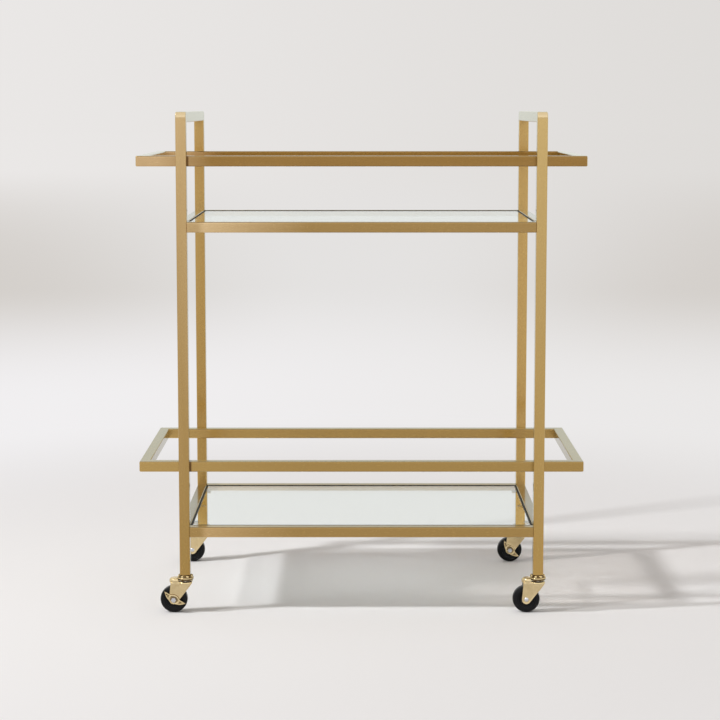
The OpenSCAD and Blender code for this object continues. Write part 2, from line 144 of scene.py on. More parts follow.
def blend(node, link, factor, first, second):
    """A mix of two colours, each a tuple or a socket."""
    mix = node.new("ShaderNodeMix")
    mix.data_type = "RGBA"
    link.new(factor, mix.inputs["Factor"])
    feed(link, mix.inputs["A"], first)
    feed(link, mix.inputs["B"], second)
    return mix.outputs["Result"]


def mix_shaders(node, link, factor, first, second):
    """A mix of two shaders, as a shader again."""
    mix = node.new("ShaderNodeMixShader")
    link.new(factor, mix.inputs["Fac"])
    link.new(first.outputs[0], mix.inputs[1])
    link.new(second.outputs[0], mix.inputs[2])
    return mix


def plain_light(node, link, kind, colour, strength=1.0):
    """An emission or background shader of one colour, a tuple or a socket."""
    light = node.new(kind)
    feed(link, light.inputs["Color"], colour)
    light.inputs["Strength"].default_value = strength
    return light


def parts_of(node, link, vector):
    """The X, Y and Z of a vector."""
    split = node.new("ShaderNodeSeparateXYZ")
    link.new(vector, split.inputs[0])
    return split.outputs


def object_place(node, link):
    """A point's place in its object: the vector, and its X, Y and Z."""
    where = node.new("ShaderNodeTexCoord").outputs["Object"]
    return where, parts_of(node, link, where)


def far_tone(node, link, direction, band=None):
    """The backdrop's colour, with painted light: paler on the left than on the right, and where
    band is 1 a painted shade makes it a little darker, most of all at the sides."""
    unit = node.new("ShaderNodeVectorMath")
    unit.operation = "NORMALIZE"
    link.new(direction, unit.inputs[0])
    across = parts_of(node, link, unit.outputs["Vector"])["X"]
    wall = blend(node, link, ramp(node, link, across, *FAR_SPAN), FAR_LEFT, FAR_RIGHT)
    if band is None:
        return wall
    aside = calculate(node, link, "ABSOLUTE", across)
    dusk = blend(node, link, ramp(node, link, aside, *BAND_SPAN), BAND_MIDDLE, BAND_SIDE)
    return blend(node, link, band, wall, dusk)


def floor_material():
    """Matt paint round the cart. With the distance it turns into the bright floor beyond, which
    glows with painted light, paler on the left, and then into the colour of the backdrop. Metal
    mirrors the floor in front as the dim room."""
    material, node, link, output = new_material("floor_paint")
    where, place = object_place(node, link)
    length = node.new("ShaderNodeVectorMath")
    length.operation = "LENGTH"
    link.new(where, length.inputs[0])
    distance = length.outputs["Value"]
    across = ramp(node, link, place["X"], *BEYOND_SPAN)
    beyond = blend(node, link, across, BEYOND_LEFT, BEYOND_RIGHT)
    backdrop = far_tone(node, link, where, ramp(node, link, distance, *BAND_FADE))
    bright = blend(node, link, ramp(node, link, distance, *FADE), beyond, backdrop)
    paint = node.new("ShaderNodeBsdfDiffuse")
    paint.inputs["Color"].default_value = (*FLOOR_COLOUR, 1)
    far = plain_light(node, link, "ShaderNodeEmission", bright)
    seen = mix_shaders(node, link, ramp(node, link, distance, *PAINT_END), paint, far)
    ray = node.new("ShaderNodeLightPath").outputs
    front = ramp(node, link, place["Y"], *FRONT_FLOOR)
    mirrored = calculate(node, link, "MULTIPLY", ray["Is Glossy Ray"], front)
    dim = plain_light(node, link, "ShaderNodeEmission", ROOM)
    surface = mix_shaders(node, link, mirrored, seen, dim)
    link.new(surface.outputs[0], output.inputs["Surface"])
    return material


turn = np.linspace(0, 2 * math.pi, FLOOR_SIDES, endpoint=False)
rim = np.column_stack([np.cos(turn), np.sin(turn), 0 * turn]) * FLOOR_RADIUS
floor_mesh = bpy.data.meshes.new("floor")
floor_mesh.from_pydata(rim.tolist(), [], [list(range(FLOOR_SIDES))])
floor = link_object("floor", floor_mesh)
floor_mesh.materials.append(floor_material())


def lamp(name, kind, power, along):
    """A lamp that shines against the direction along, which points from the cart to it."""
    data = bpy.data.lights.new(name, kind)
    data.energy = power
    obj = link_object(name, data)
    along = np.array(along) / np.linalg.norm(along)
    obj.rotation_euler = (math.acos(along[2]), 0, math.atan2(along[1], along[0]) + math.pi / 2)
    obj.visible_camera = False
    return obj


key = lamp("key", "AREA", KEY_POWER, np.subtract(KEY_AT, KEY_TO))
key.location = KEY_AT
key.data.size = KEY_SIZE
key.data.color = KEY_COLOUR
key.data.use_nodes = True
glow = key.data.node_tree.nodes
falloff = glow.new("ShaderNodeLightFalloff")
falloff.inputs["Strength"].default_value = 1
key.data.node_tree.links.new(falloff.outputs["Constant"], glow["Emission"].inputs["Strength"])
key.visible_glossy = False
fill = lamp("fill", "SUN", FILL_STRENGTH, FILL_FROM)
fill.data.angle = FILL_ANGLE

world = bpy.data.worlds.new("studio")
world.use_nodes = True
bpy.context.scene.world = world
sky, wire = world.node_tree.nodes, world.node_tree.links
sky.clear()
sky_out = sky.new("ShaderNodeOutputWorld")
way = sky.new("ShaderNodeTexCoord").outputs["Generated"]
heading = parts_of(sky, wire, way)
above_eye = ramp(sky, wire, heading["Z"], *WINDOW_ABOVE)
ahead = blend(sky, wire, above_eye, ROOM, WINDOW)
room = blend(sky, wire, ramp(sky, wire, heading["Y"], *ROOM_FROM), SIDES, ahead)
inwards = ramp(sky, wire, heading["Y"], *CEILING_BACK)
upwards = ramp(sky, wire, heading["Z"], *CEILING_ABOVE)
room = blend(sky, wire, calculate(sky, wire, "MULTIPLY", inwards, upwards), room, CEILING)
sky_light = plain_light(sky, wire, "ShaderNodeBackground", SKY_COLOUR, SKY_STRENGTH)
sky_seen = plain_light(sky, wire, "ShaderNodeBackground", far_tone(sky, wire, way))
sky_mirrored = plain_light(sky, wire, "ShaderNodeBackground", room)
path = sky.new("ShaderNodeLightPath").outputs
seen = calculate(sky, wire, "MAXIMUM", path["Is Camera Ray"], path["Is Transmission Ray"])
lit_or_seen = mix_shaders(sky, wire, seen, sky_light, sky_seen)
sky_whole = mix_shaders(sky, wire, path["Is Glossy Ray"], lit_or_seen, sky_mirrored)
wire.new(sky_whole.outputs[0], sky_out.inputs["Surface"])


# The tubes are 19 mm square steel, brushed along their length and brass plated. The legs
# and handles are mitred, the rings lie inside the legs, and the shelf rails are butted. Their
# tones carry painted light and shade: each leg and bar has its own, paler up the legs and
# ends and towards the left on the cross bars, where the light falls.
# Painted light on the handles, end bars, end rails and tabs: pale above, deeper below.
END_PAINTED_LIGHT = (242, 212, 154), (188, 150, 68)
# Painted light on each leg: its lit tone at the top, its shaded tone at the foot.
LEG_PAINTED_LIGHT = {
    "front_left": ((225, 191, 134), (184, 146, 67)),
    "front_right": ((226, 193, 124), (199, 161, 84)),
    "back_left": ((214, 176, 103), (195, 157, 77)),
    "back_right": ((220, 183, 110), (214, 177, 101)),
}
LEG_SPAN = (0.0, 0.95)
# Each cross bar: its lit tone, its shaded tone, the span along X over which painted light turns one
# into the other, lit towards the left, and the share of the lit tone left in the painted shade
# beside the left leg.
BAR_PAINTED_LIGHT = {
    ("upper", "ring"): ((225, 189, 136), (168, 127, 57), (-0.27, -0.37), 1.0),
    ("upper", "shelf"): ((244, 211, 157), (184, 148, 83), (-0.09, -0.29), 0.5),
    ("lower", "ring"): ((208, 172, 98), (190, 154, 82), (-0.1, -0.4), 1.0),
    ("lower", "shelf"): ((222, 186, 126), (186, 150, 82), (-0.12, -0.29), 0.1),
}
# Where the painted shade beside the left leg fades out along X.
LEG_SHADE_SPAN = (-0.297, -0.281)
# Painted shadow of the front left leg on the ring beside it: its dark brown, where it starts and
# ends along X, and its fade along Y.
LEG_SHADOW_TONE, LEG_SHADOW_START, LEG_SHADOW_END = (128, 90, 38), (-0.3105, -0.3125), (-0.3165, -0.315)
LEG_SHADOW_Y = (0.1, -0.1)
# Painted highlight on the bends between the legs and handles.
BEND_HIGHLIGHT, BEND_Y, BEND_Z = (214, 190, 146), (0.186, 0.2), (0.9, 0.91)
# Painted shade on the round of the cross bars' upper edges.
ROUND_SHADE, ROUND_FROM, ROUND_TO = (140, 112, 62), (0.15, 0.45), (0.9, 0.99)
# Painted shade on the tops of the shelves' end rails: greyer in front, brown at the back.
TOP_SHADE_FRONT, TOP_SHADE_BACK, TOP_SPAN = (176, 146, 108), (150, 98, 36), (0.0, 0.14)
CLOUDS, CLOUD_DETAIL, CLOUD_SHARE = 2.0, 3, 0.3
LINES, LINE_DETAIL, LINE_RANGE = 40.0, 2, (0.3, 0.7)
LINE_BUMP, LINE_DEPTH = 0.12, 0.00005
TUBE_ROUGHNESS = (0.19, 0.28)
EDGE_TINT = (0.5, 0.58, 0.55)
LACQUER, LACQUER_ROUGHNESS = 0.85, 0.1
LONG, SHORT = 0.5, 0.02


def spread(node, link, value, low, high, start=0.0, end=1.0):
    """An even change from low to high as a value goes from start to end."""
    even = node.new("ShaderNodeMapRange")
    even.inputs["From Min"].default_value, even.inputs["From Max"].default_value = start, end
    even.inputs["To Min"].default_value, even.inputs["To Max"].default_value = low, high
    link.new(value, even.inputs["Value"])
    return even.outputs["Result"]


def noise(node, link, vector, scale, detail=2):
    """The value of a noise texture."""
    texture = node.new("ShaderNodeTexNoise")
    texture.inputs["Scale"].default_value = scale
    texture.inputs["Detail"].default_value = detail
    link.new(vector, texture.inputs["Vector"])
    return texture.outputs["Fac"]


def principled(node, link, output, inputs):
    """The surface: a shader whose inputs of these names are fed these values."""
    shader = node.new("ShaderNodeBsdfPrincipled")
    for name, value in inputs.items():
        feed(link, shader.inputs[name], value)
    link.new(shader.outputs[0], output.inputs["Surface"])
    return shader


def bumped(node, link, height, strength, depth):
    """The normal of a surface that a height raises up to the depth."""
    bump = node.new("ShaderNodeBump")
    bump.inputs["Strength"].default_value = strength
    bump.inputs["Distance"].default_value = depth
    link.new(height, bump.inputs["Height"])
    return bump.outputs["Normal"]


def brushed_brass(name, along, tones, span, leg_shade_share=None, leg_shadowed=False, shelf_end=False):
    """Lacquered brass plate, brushed in fine lines of polish and bump along X, Y or Z. Its tones
    are painted light and shade: the second, shaded tone turns into the first, lit tone over the
    span, along X on a cross bar and else upwards, in soft clouds. On a cross bar the round of
    the upper edges gets painted shade, and beside the left leg painted shade leaves only the
    given share of the lit tone. A ring gets the painted shadow of the front left leg beside it,
    and a shelf's end rail gets painted shade on top. Elsewhere the bends between the legs and
    handles get a painted highlight."""
    material, node, link, output = new_material(name)
    where, place = object_place(node, link)
    pale, deep = (srgb(*tone) for tone in tones)

    def grained(scale, detail):
        """Noise, LONG along the tube and SHORT across it, and scale times finer than that."""
        stretch = node.new("ShaderNodeMapping")
        grain = [LONG if axis == along else SHORT for axis in "XYZ"]
        stretch.inputs["Scale"].default_value = [scale / length for length in grain]
        link.new(where, stretch.inputs["Vector"])
        return noise(node, link, stretch.outputs["Vector"], 1, detail)

    def rise(value, limits):
        return ramp(node, link, value, *limits)

    def times(*values):
        return calculate(node, link, "MULTIPLY", *values)

    cross_bar = leg_shade_share is not None
    # Painted light: the shaded tone turns into the lit one up a leg and towards the left on a cross
    # bar.
    share = spread(node, link, place["X" if cross_bar else "Z"], 0, 1, *span)
    # Painted shade: beside the left leg only the given share of the lit tone is left.
    if cross_bar:
        clear = rise(place["X"], LEG_SHADE_SPAN)
        clear = calculate(node, link, "MULTIPLY_ADD", clear, 1 - leg_shade_share, leg_shade_share)
        share = times(share, clear)
    share = calculate(node, link, "SUBTRACT", share, CLOUD_SHARE / 2)
    cloud = grained(CLOUDS, CLOUD_DETAIL)
    share = calculate(node, link, "MULTIPLY_ADD", cloud, CLOUD_SHARE, share)
    tone = blend(node, link, share, deep, pale)
    tilt = parts_of(node, link, node.new("ShaderNodeNewGeometry").outputs["Normal"])["Z"]
    # Painted shade on the tops of a shelf's end rails, deeper towards the back.
    if shelf_end:
        top_shade = blend(node, link, rise(place["Y"], TOP_SPAN), srgb(*TOP_SHADE_FRONT), srgb(*TOP_SHADE_BACK))
        tone = blend(node, link, rise(tilt, ROUND_TO), tone, top_shade)
    # Painted shade on the round of a cross bar's upper edges.
    if cross_bar:
        rounded = times(rise(tilt, ROUND_FROM), rise(tilt, ROUND_TO[::-1]))
        tone = blend(node, link, rounded, tone, srgb(*ROUND_SHADE))
    else:
        # Painted highlight: the bends between the legs and handles are paler.
        outer = rise(calculate(node, link, "ABSOLUTE", place["Y"]), BEND_Y)
        tone = blend(node, link, times(outer, rise(place["Z"], BEND_Z)), tone, srgb(*BEND_HIGHLIGHT))
    if leg_shadowed:
        # Painted shadow of the front left leg: a narrow dark brown strip on the ring beside it.
        strip = times(rise(place["X"], LEG_SHADOW_START), rise(place["X"], LEG_SHADOW_END))
        tone = blend(node, link, times(strip, rise(place["Y"], LEG_SHADOW_Y)), tone, srgb(*LEG_SHADOW_TONE))
    lines = grained(LINES, LINE_DETAIL)
    inputs = {
        "Base Color": tone,
        "Metallic": 1,
        "Specular Tint": EDGE_TINT,
        "Coat Weight": LACQUER,
        "Coat Roughness": LACQUER_ROUGHNESS,
        "Roughness": spread(node, link, lines, *TUBE_ROUGHNESS, *LINE_RANGE),
        "Normal": bumped(node, link, lines, LINE_BUMP, LINE_DEPTH),
    }
    principled(node, link, output, inputs)
    return material


def finish_node(name, material):
    """Gives a CAD node that stays as it is its own finish."""
    mesh = nodes[name].data
    mesh.materials.clear()
    mesh.materials.append(material)


brass_ends = brushed_brass("brass_ends", "Y", END_PAINTED_LIGHT, LEG_SPAN)
brass_shelf_ends = brushed_brass("brass_shelf_ends", "Y", END_PAINTED_LIGHT, LEG_SPAN, shelf_end=True)
for corner, tones in LEG_PAINTED_LIGHT.items():
    finish_node(f"{corner}_leg", brushed_brass(f"brass_{corner}_leg", "Z", tones, LEG_SPAN))
for side in ("left", "right"):
    finish_node(f"{side}_handle", brass_ends)
for (level, part), (pale, deep, span, leg_shade_share) in BAR_PAINTED_LIGHT.items():
    is_ring = part == "ring"
    brass_bar = brushed_brass(f"brass_{level}_{part}", "X", (pale, deep), span, leg_shade_share, is_ring)
    for bar in ("front", "back"):
        finish_node(f"{level}_{part}_{bar}", brass_bar)
    for bar in ("left", "right"):
        finish_node(f"{level}_{part}_{bar}", brass_ends if is_ring else brass_shelf_ends)


# The two shelves are 8 mm clear float glass with a green tint, cut 2 mm short of the rails
# all round. Their edges are ground to a rounded bevel and polished.
GLASS_TINT, GLASS_IOR = (243, 247, 246), 1.5
PANE_CORNER, CORNER_STEPS = 0.003, 12
PANE_BEVEL, BEVEL_STEPS = 0.0012, 5
FLAT_MARGIN = 0.0002
LEVELS = ("upper", "lower")
MERGE = 1e-7
DENSE_SHADOW, OPEN_SHADOW, SHADOW_OPENS = (0.05, 0.02, 0.0), (0.75, 0.72, 0.7), (0.05, 0.13)


def rounded_outline(low, high, radius, steps):
    """A rectangle with round corners, counter-clockwise: the corner's centre plus the radius
    turned through a quarter circle. Returns the centres and the unit directions."""
    centre_x = np.array([high[0], low[0], low[0], high[0]]) + radius * np.array([-1, 1, 1, -1])
    centre_y = np.array([high[1], high[1], low[1], low[1]]) + radius * np.array([-1, -1, 1, 1])
    angle = np.linspace(0, math.pi / 2, steps) + np.arange(4)[:, None] * math.pi / 2
    centres = np.stack([np.repeat(centre_x, steps), np.repeat(centre_y, steps)], axis=-1)
    away = np.stack([np.cos(angle).ravel(), np.sin(angle).ravel()], axis=-1)
    return centres, away


def quads(rows, columns, wrap_rows=False, wrap_columns=False):
    """The four corners of every cell of a grid whose points are numbered row by row."""
    i = np.arange(rows if wrap_rows else rows - 1)
    j = np.arange(columns if wrap_columns else columns - 1)
    i, j = np.meshgrid(i, j, indexing="ij")
    i1, j1 = (i + 1) % rows, (j + 1) % columns
    return np.stack(
        [i * columns + j, i * columns + j1, i1 * columns + j1, i1 * columns + j], axis=-1
    ).reshape(-1, 4)


def slab(centres, away, radius, rings):
    """A flat solid: its outline is drawn once for each ring (how far inside the outline, height)
    from the bottom to the top, and the first and last ring are closed by a flat face. A ring just
    inside a rounded edge keeps the face beside it flat in its shading."""
    inset, height = np.array(rings, float).T
    flat = centres[None] + (radius - inset)[:, None, None] * away[None]
    heights = np.broadcast_to(height[:, None, None], flat.shape[:2] + (1,))
    rows = np.concatenate([flat, heights], axis=-1)
    count = rows.shape[1]
    faces = quads(len(rings), count, wrap_columns=True)
    caps = [list(range(count))[::-1], list(range((len(rings) - 1) * count, len(rings) * count))]
    return rows.reshape(-1, 3), faces.tolist() + caps


def solid(name, parts, material, crease=35, painted_shade=None):
    """One piece from closed parts, each (points, faces) in metres: the parts' points are put one
    after another, points that coincide are merged, and the faces are turned outwards. A value
    of painted shade for each point may come with them."""
    counts = np.cumsum([0] + [len(points) for points, _ in parts])
    points = np.concatenate([p for p, _ in parts])
    faces = [[int(k + start) for k in f] for (_, fs), start in zip(parts, counts) for f in fs]
    mesh = bpy.data.meshes.new(name)
    mesh.from_pydata(points.tolist(), [], faces)
    if painted_shade is not None:
        layer = mesh.attributes.new("painted_shade", "FLOAT", "POINT")
        layer.data.foreach_set("value", np.asarray(painted_shade, np.float32).ravel())
    work = bmesh.new()
    work.from_mesh(mesh)
    bmesh.ops.remove_doubles(work, verts=work.verts, dist=MERGE)
    bmesh.ops.dissolve_degenerate(work, edges=work.edges, dist=MERGE)
    bmesh.ops.recalc_face_normals(work, faces=work.faces)
    work.to_mesh(mesh)
    work.free()
    mesh.polygons.foreach_set("use_smooth", np.ones(len(mesh.polygons), bool))
    mesh.set_sharp_from_angle(angle=math.radians(crease))
    mesh.materials.append(material)
    return link_object(name, mesh)


def glass_material():
    """Clear glass. To the lamps it is partly open, more so on the right, so that its shadow
    fades as it does in the photograph."""
    material, node, link, output = new_material("clear_glass")
    inputs = {
        "Base Color": srgb(*GLASS_TINT),
        "Roughness": 0.0,
        "IOR": GLASS_IOR,
        "Transmission Weight": 1,
    }
    shader = principled(node, link, output, inputs)
    open_way = node.new("ShaderNodeBsdfTransparent")
    _, place = object_place(node, link)
    opening = ramp(node, link, place["X"], *SHADOW_OPENS)
    link.new(blend(node, link, opening, DENSE_SHADOW, OPEN_SHADOW), open_way.inputs["Color"])
    path = node.new("ShaderNodeLightPath")
    mix = mix_shaders(node, link, path.outputs["Is Shadow Ray"], shader, open_way)
    link.new(mix.outputs[0], output.inputs["Surface"])
    return material


clear_glass = glass_material()
for level in LEVELS:
    low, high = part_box(f"{level}_glass")
    centres, away = rounded_outline(low, high, PANE_CORNER, CORNER_STEPS)
    below = [(PANE_BEVEL + FLAT_MARGIN, low.z)]
    for a in np.linspace(0, math.pi / 2, BEVEL_STEPS):
        below.append((PANE_BEVEL * (1 - math.sin(a)), low.z + PANE_BEVEL * (1 - math.cos(a))))
    above = [(inset, low.z + high.z - z) for inset, z in below[::-1]]
    pane = solid(f"{level}_pane", [slab(centres, away, PANE_CORNER, below + above)], clear_glass)
    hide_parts(f"{level}_glass")
    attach(pane, "frame")


# A near-black strip fills the narrow gap between each glass and its rails, and its thin lip
# lies over the edge of the glass, just below the rails' top. Its black is painted shade for
# the dark, shaded gap.
STRIP_FOOT, STRIP_TOP = 0.0066, 0.0007
STRIP_LIP, STRIP_ROUND, STRIP_REST = 0.0016, 0.0003, 0.00005
# The two near-black tones of the painted shade in the gap.
STRIP_SHADE_LIGHT, STRIP_SHADE_DEEP, STRIP_GRAIN = (42, 43, 38), (20, 21, 18), 500
STRIP_SHINE, STRIP_ROUGHNESS = 0.15, 0.6
RAIL_FACE_X = 0.314


def gap_shade_black():
    """Near-black matt finish with a fine, even bloom: painted shade for the dark gap."""
    material, node, link, output = new_material("gap_shade_strip")
    where, _ = object_place(node, link)
    specks = noise(node, link, where, STRIP_GRAIN)
    bloom = blend(node, link, specks, srgb(*STRIP_SHADE_DEEP), srgb(*STRIP_SHADE_LIGHT))
    inputs = {
        "Base Color": bloom,
        "Specular IOR Level": STRIP_SHINE,
        "Roughness": STRIP_ROUGHNESS,
    }
    principled(node, link, output, inputs)
    return material


def arc(centre, radius, start, end, steps):
    """Points on a circle from one angle to another, in degrees, ends included."""
    angle = np.radians(np.linspace(start, end, steps))
    return [(centre[0] + radius * math.cos(a), centre[1] + radius * math.sin(a)) for a in angle]


def strip_round(pane_low, pane_high):
    """A strip carried round the pane. Its section has its inner side on the pane's outline, its
    outer side on the rails and a lip with rounded edges over the pane."""
    inner, away = rounded_outline(pane_low, pane_high, PANE_CORNER, CORNER_STEPS)
    gap = RAIL_FACE_X - pane_high.x
    section = [(0, -STRIP_FOOT), (gap, -STRIP_FOOT)]
    section += arc((gap - STRIP_ROUND, STRIP_TOP - STRIP_ROUND), STRIP_ROUND, 0, 90, 5)
    section += arc((STRIP_ROUND - STRIP_LIP, STRIP_TOP - STRIP_ROUND), STRIP_ROUND, 90, 180, 5)
    section += [(-STRIP_LIP, STRIP_REST), (0, STRIP_REST)]
    out, up = np.array(section).T
    flat = inner[:, None] + (PANE_CORNER + out)[None, :, None] * away[:, None]
    height = np.broadcast_to(pane_high.z + up[None, :, None], flat.shape[:2] + (1,))
    return np.concatenate([flat, height], axis=-1)


def closed_grid(points):
    """The points and faces of a grid that closes on itself both ways, like a ring."""
    rows, columns = points.shape[:2]
    return points.reshape(-1, 3), quads(rows, columns, True, True).tolist()


strips = [closed_grid(strip_round(*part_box(f"{level}_glass"))) for level in LEVELS]
gap_shade_strips = solid("glass_gap_shade_strips", strips, gap_shade_black())
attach(gap_shade_strips, "frame")


# Twelve steel tabs welded under the glass carry it on clear rubber bumpers. The tabs are
# cut from strip with round corners, and the bumpers are stuck on them.
TAB_EDGE = 0.0004
TAB_REACH, TAB_WIDTH, TAB_THICK = 0.012, 0.016, 0.0025
BUMPER_RADIUS, BUMPER_THICK, BUMPER_INSET = 0.0035, 0.0015, 0.004
BUMPER_STEPS = 32
BUMPER_TINT, BUMPER_IOR, BUMPER_CLEAR = (236, 240, 238), 1.48, 0.85
BUMPER_GRAIN, BUMPER_HAZE = 900, (0.12, 0.3)


def turned(profile, count):
    """A turned solid: the closed profile of (radius, height) carried round Z in count steps."""
    radius, height = np.array(profile, float).T
    angle = np.linspace(0, 2 * math.pi, count, endpoint=False)[:, None]
    heights = np.broadcast_to(height, (count, len(height)))
    return np.stack([radius * np.cos(angle), radius * np.sin(angle), heights], axis=-1)


def rubber_material():
    """Clear soft rubber, faintly cloudy."""
    material, node, link, output = new_material("clear_rubber")
    where, _ = object_place(node, link)
    inputs = {
        "Base Color": srgb(*BUMPER_TINT),
        "IOR": BUMPER_IOR,
        "Transmission Weight": BUMPER_CLEAR,
        "Roughness": spread(node, link, noise(node, link, where, BUMPER_GRAIN), *BUMPER_HAZE),
    }
    principled(node, link, output, inputs)
    return material


tab_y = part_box("glass_tabs")[1].y - TAB_WIDTH / 2
tab_parts, bumper_parts = [], []
dome = [(0, 0), (BUMPER_RADIUS, 0)]
dome += arc((BUMPER_RADIUS - BUMPER_THICK, 0), BUMPER_THICK, 5, 90, 7)
dome += [(0, BUMPER_THICK)]
for level in LEVELS:
    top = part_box(f"{level}_glass")[0].z - BUMPER_THICK
    rings = [(TAB_EDGE, top - TAB_THICK), (0, top - TAB_THICK + TAB_EDGE)]
    rings += [(0, top - TAB_EDGE), (TAB_EDGE, top)]
    for side in (-1, 1):
        rail = side * RAIL_FACE_X
        inner = rail - side * TAB_REACH
        for y in (-tab_y, 0, tab_y):
            low = (min(rail, inner), y - TAB_WIDTH / 2)
            high = (max(rail, inner), y + TAB_WIDTH / 2)
            centres, away = rounded_outline(low, high, TAB_EDGE, 4)
            tab_parts.append(slab(centres, away, TAB_EDGE, rings))
            at = (inner + side * BUMPER_INSET, y, top)
            bumper_parts.append(closed_grid(turned(dome, BUMPER_STEPS) + at))
tabs = solid("shelf_tabs", tab_parts, brass_ends)
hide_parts("glass_tabs")
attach(tabs, "frame")
bumpers = solid("shelf_bumpers", bumper_parts, rubber_material())
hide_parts("glass_bumpers")
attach(bumpers, "frame")


# Each caster turns in a cap pressed from bright brass plated sheet: a cone with eight
# round bumps over a short skirt, held on a steel stem whose head is riveted below. Painted
# shade darkens the plating in the hollows between the bumps and under the cap's shoulder.
# Casters are drawn in millimetres.
MM = 0.001
CORNERS = {
    "front_left": (-1, -1),
    "front_right": (1, -1),
    "back_left": (-1, 1),
    "back_right": (1, 1),
}
LEG_X, LEG_Y = 0.3235, 0.1935  # in metres
BRIGHT_BRASS, BRIGHT_DEEP = (232, 212, 168), (212, 188, 140)
BRASS_POLISH, BRASS_GRAIN = (0.12, 0.26), 160
ZINC, ZINC_DEEP = (226, 227, 232), (198, 199, 205)
ZINC_POLISH, ZINC_GRAIN = (0.15, 0.32), 300
# The dark brown of painted shade in the plating's hollows.
PAINTED_SHADE_TONE = (112, 90, 56)
FLECKS, FLECK_BUMP, FLECK_DEPTH = 12, 0.2, 0.00003


def plated(name, light, deep, roughness, grain):
    """Bright plating: two tones in soft clouds, and a polish and a bump that vary in specks. It
    turns to the dark brown of painted shade as the mesh's own shade attribute rises to 1."""
    material, node, link, output = new_material(name)
    where, _ = object_place(node, link)
    fleck = noise(node, link, where, grain * FLECKS)
    cloud = noise(node, link, where, grain, detail=3)
    unshaded_plate = blend(node, link, cloud, srgb(*light), srgb(*deep))
    shade_attribute = node.new("ShaderNodeAttribute")
    shade_attribute.attribute_name = "painted_shade"
    inputs = {
        "Base Color": blend(node, link, shade_attribute.outputs["Fac"], unshaded_plate, srgb(*PAINTED_SHADE_TONE)),
        "Metallic": 1,
        "Roughness": spread(node, link, fleck, *roughness),
        "Normal": bumped(node, link, fleck, FLECK_BUMP, FLECK_DEPTH),
    }
    principled(node, link, output, inputs)
    return material


bright_brass = plated("bright_brass_plate", BRIGHT_BRASS, BRIGHT_DEEP, BRASS_POLISH, BRASS_GRAIN)
zinc_steel = plated("zinc_plate", ZINC, ZINC_DEEP, ZINC_POLISH, ZINC_GRAIN)


def soft_step(value, start, end):
    """A smooth rise from 0 to 1 as a value goes from start to end."""
    t = np.clip((value - start) / (end - start), 0, 1)
    return t * t * (3 - 2 * t)


def at_caster(points, corner):
    """Points drawn in millimetres round a caster's swivel axis, moved to it, in metres."""
    side, face = CORNERS[corner]
    return np.asarray(points) * MM + (side * LEG_X, face * LEG_Y, 0)


CAP_BUMPS, CAP_STEPS = 8, 256
CAP_TOP, CAP_SHOULDER, CAP_EDGE = 71.0, 65.0, 64.4
CAP_TOP_R, CAP_R = 10.0, 15.5
CAP_TOP_ROUND, CAP_EDGE_ROUND = 0.8, 0.75
CONE_START, CONE_END, CONE_ROWS = 0.02, 0.15, 40
CAP_SKIRT = [(14.7, 63.5), (14.7, 61.3), (14.4, 61.0)]
CAP_INSIDE = [(13.5, 61.0), (13.5, 63.6), (8.7, 69.5), (4.1, 69.5)]
BUMP_HEIGHT, BUMP_REACH, BUMP_FULLNESS = 1.9, 2.7, 0.6
# Where the cap's painted shade lies: on the cone, under the shoulder, and off the bumps.
SHADE_ON_CONE, SHADE_UNDER_SHOULDER, SHADE_OFF_BUMP = (-0.2, 1.2), (0.9, 1.5), (0.2, 0.75)
STEM_R = 4.0


def cap_points():
    """The cap's closed profile carried round, with the bumps added square to its cone: each is
    nearly part of a ball, as 1 less the square of the distance from its middle, to a power.
    The painted shade is full on the cone between the bumps and under the shoulder."""
    slope = math.degrees(math.atan2(CAP_R - CAP_TOP_R, CAP_TOP - CAP_SHOULDER))
    top_centre = (CAP_TOP_R - CAP_TOP_ROUND, CAP_TOP - CAP_TOP_ROUND)
    outer = [(STEM_R, CAP_TOP)] + arc(top_centre, CAP_TOP_ROUND, 90, slope, 6)
    start, end = np.array(outer[-1]), np.array([CAP_R - CAP_EDGE_ROUND, CAP_SHOULDER + CONE_END])
    outer += [tuple(start + t * (end - start)) for t in np.linspace(CONE_START, 1, CONE_ROWS)]
    outer += arc((CAP_R - CAP_EDGE_ROUND, CAP_EDGE), CAP_EDGE_ROUND, 70, -90, 10)
    outer += CAP_SKIRT
    profile = np.array(outer + CAP_INSIDE)
    points = turned(profile, CAP_STEPS)
    middle = np.array([(CAP_TOP_R + CAP_R) / 2, (CAP_TOP + CAP_SHOULDER) / 2])
    lean = np.array([CAP_TOP - CAP_SHOULDER, CAP_R - CAP_TOP_R])
    lean = lean / np.linalg.norm(lean)
    angle = np.linspace(0, 2 * math.pi, CAP_STEPS, endpoint=False)[:, None]
    pitch = 2 * math.pi / CAP_BUMPS
    round_way = (np.mod(angle, pitch) - pitch / 2) * middle[0]
    up_way = (profile - middle) @ np.array([-lean[1], lean[0]])
    near = np.clip(1 - (round_way**2 + up_way[None] ** 2) / BUMP_REACH**2, 0, 1)
    rise = BUMP_HEIGHT * near**BUMP_FULLNESS
    rise[:, len(outer):] = 0
    push = [lean[0] * np.cos(angle), lean[0] * np.sin(angle), lean[1] + 0 * angle]
    # Painted shade between the bumps and under the shoulder.
    on_cone = soft_step(profile[:, 1] - CAP_SHOULDER, *SHADE_ON_CONE)
    under = soft_step(CAP_SHOULDER - profile[:, 1], *SHADE_UNDER_SHOULDER)
    hollow = 1 - soft_step(rise / BUMP_HEIGHT, *SHADE_OFF_BUMP)
    painted_shade = np.maximum(on_cone * hollow, under[None])
    return points + rise[..., None] * np.stack(push, axis=-1), painted_shade


